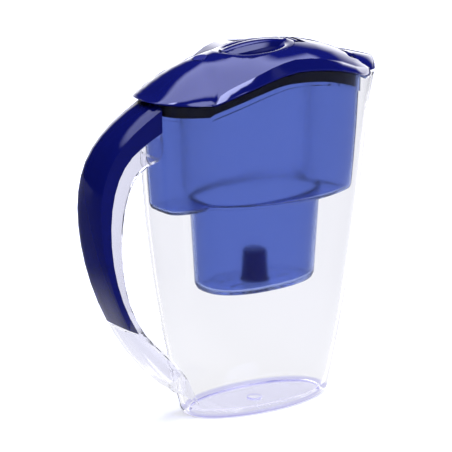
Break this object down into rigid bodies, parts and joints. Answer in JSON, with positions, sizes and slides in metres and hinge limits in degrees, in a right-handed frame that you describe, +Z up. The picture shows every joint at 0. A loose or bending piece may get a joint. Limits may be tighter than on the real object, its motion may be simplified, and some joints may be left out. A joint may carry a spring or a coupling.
{
  "type": "water filter pitcher",
  "caption": "Clear water filter pitcher with a handle, a tinted hopper with a filter pocket, and a domed lid with a flip filling flap and a spout flap.",
  "frame": {"origin": "centre of the foot, on the surface that the pitcher stands on", "axes": "+Z up, +X towards the pouring spout, so the handle is at -X; +Y is to the left of someone who holds the handle and pours away"},
  "size_m": [0.2429, 0.101, 0.2647],
  "materials": {
    "clear": "clear polished plastic",
    "tinted": "translucent cobalt plastic",
    "tinted_dark": "translucent cobalt plastic, seen through two walls",
    "blue": "polished opaque royal blue",
    "handle_blue": "polished opaque royal blue with a lighter lower end",
    "navy": "dark blue moulding",
    "button": "polished",
    "steel": "drawn stainless wire and turned pins",
    "case": "fine spark texture",
    "board": "solder mask"
  },
  "bodies": {
    "jug": {"jug_body": "clear", "handle_channel": "clear", "handle_cover": "handle_blue"},
    "hopper": {"hopper": "tinted", "cartridge_pocket": "tinted", "pocket_post": "tinted_dark"},
    "lid": {"lid_shell": "blue", "lid_liner": "navy", "fill_flap_pin": "steel", "fill_hinge_bracket": "navy", "spout_flap_pin": "steel", "spout_hinge_bracket": "navy", "indicator_case": "case", "indicator_board": "board", "coin_cell": "steel", "indicator_cover": "case", "indicator_screws": "steel", "button_spring": "steel"},
    "fill_flap": {"fill_flap": "blue", "flap_grip": "blue"},
    "spout_flap": {"spout_flap": "blue"},
    "indicator_button": {"indicator_button": "button"}
  },
  "joints": [
    {"name": "hopper_lift", "type": "slide", "parent": "jug", "child": "hopper", "axis": [0, 0, 1], "range_m": [0, 0.18]},
    {"name": "lid_lift", "type": "slide", "parent": "hopper", "child": "lid", "axis": [0, 0, 1], "range_m": [0, 0.06]},
    {"name": "fill_flap_hinge", "type": "hinge", "parent": "lid", "child": "fill_flap", "pos_m": [0.0322, 0, 0.25719], "axis": [0, 1, 0], "range_deg": [0, 85]},
    {"name": "spout_flap_hinge", "type": "hinge", "parent": "lid", "child": "spout_flap", "pos_m": [0.0724, 0, 0.24401], "axis": [0, -1, 0], "range_deg": [0, 60]},
    {"name": "button_press", "type": "slide", "parent": "lid", "child": "indicator_button", "axis": [0, 0, -1], "range_m": [0, 0.0012], "stiffness_N_per_m": 400, "springref_m": -0.0015, "deforming": ["button_spring"]}
  ]
}
